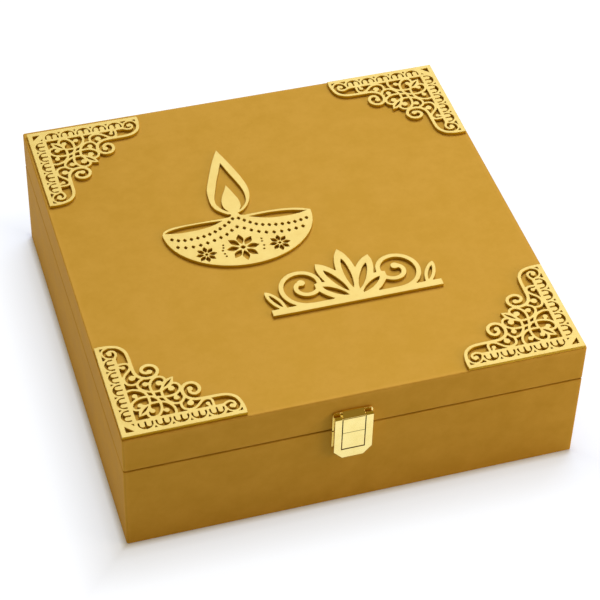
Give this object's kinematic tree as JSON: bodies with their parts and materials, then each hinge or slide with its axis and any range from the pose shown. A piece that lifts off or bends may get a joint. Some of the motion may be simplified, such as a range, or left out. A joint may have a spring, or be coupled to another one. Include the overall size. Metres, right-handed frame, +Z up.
{
  "type": "dried fruit gift box",
  "caption": "Square gold-wrapped gift box for dried fruit, with a hinged lid, raised filigree corners, an oil lamp ornament, a divided inside and a hasp latch.",
  "frame": {"origin": "middle of the underside, on the surface that the box stands on", "axes": "+Z up, -Y toward the front with the latch, +X to the right seen from the front"},
  "size_m": [0.254, 0.2631, 0.0824],
  "materials": {
    "gold_wrap": "satin gold wrapping",
    "board": "raw fibreboard",
    "lining": "matt ivory paper",
    "bottom_paper": "matt brown paper",
    "divider": "gold paper over board",
    "ornament_gold": "satin light gold paint",
    "latch_brass": "polished",
    "hinge_brass": "polished"
  },
  "bodies": {
    "base": {"base_front_wall": "board", "base_back_wall": "board", "base_left_wall": "board", "base_right_wall": "board", "base_floor": "board", "base_bottom_sheet": "bottom_paper", "base_cover": "gold_wrap", "base_lining": "lining", "divider_long": "divider", "divider_cross": "divider", "latch_keeper_plate": "latch_brass", "latch_keeper_nail_left": "latch_brass", "latch_keeper_nail_right": "latch_brass", "hinge_left_base_leaf": "hinge_brass", "hinge_left_pin": "hinge_brass", "hinge_left_base_screw_a": "hinge_brass", "hinge_left_base_screw_b": "hinge_brass", "hinge_right_base_leaf": "hinge_brass", "hinge_right_pin": "hinge_brass", "hinge_right_base_screw_a": "hinge_brass", "hinge_right_base_screw_b": "hinge_brass"},
    "lid": {"lid_front_rim": "board", "lid_back_rim": "board", "lid_left_rim": "board", "lid_right_rim": "board", "lid_top_panel": "board", "lid_cover": "gold_wrap", "lid_lining": "lining", "filigree_front_left": "ornament_gold", "filigree_front_right": "ornament_gold", "filigree_back_right": "ornament_gold", "filigree_back_left": "ornament_gold", "lamp_ornament": "ornament_gold", "scroll_ornament": "ornament_gold", "latch_lid_plate": "latch_brass", "latch_lid_nail_left": "latch_brass", "latch_lid_nail_right": "latch_brass", "latch_pin": "latch_brass", "hinge_left_lid_leaf": "hinge_brass", "hinge_left_lid_screw_a": "hinge_brass", "hinge_left_lid_screw_b": "hinge_brass", "hinge_right_lid_leaf": "hinge_brass", "hinge_right_lid_screw_a": "hinge_brass", "hinge_right_lid_screw_b": "hinge_brass"},
    "hasp": {"latch_hasp": "latch_brass"}
  },
  "joints": [
    {"name": "lid_hinge", "type": "hinge", "parent": "base", "child": "lid", "pos_m": [0, 0.1291, 0.0572], "axis": [-1, 0, 0], "range_deg": [0, 105]},
    {"name": "hasp_hinge", "type": "hinge", "parent": "lid", "child": "hasp", "pos_m": [-0.004, -0.1298, 0.0672], "axis": [-1, 0, 0], "range_deg": [0, 160]}
  ]
}
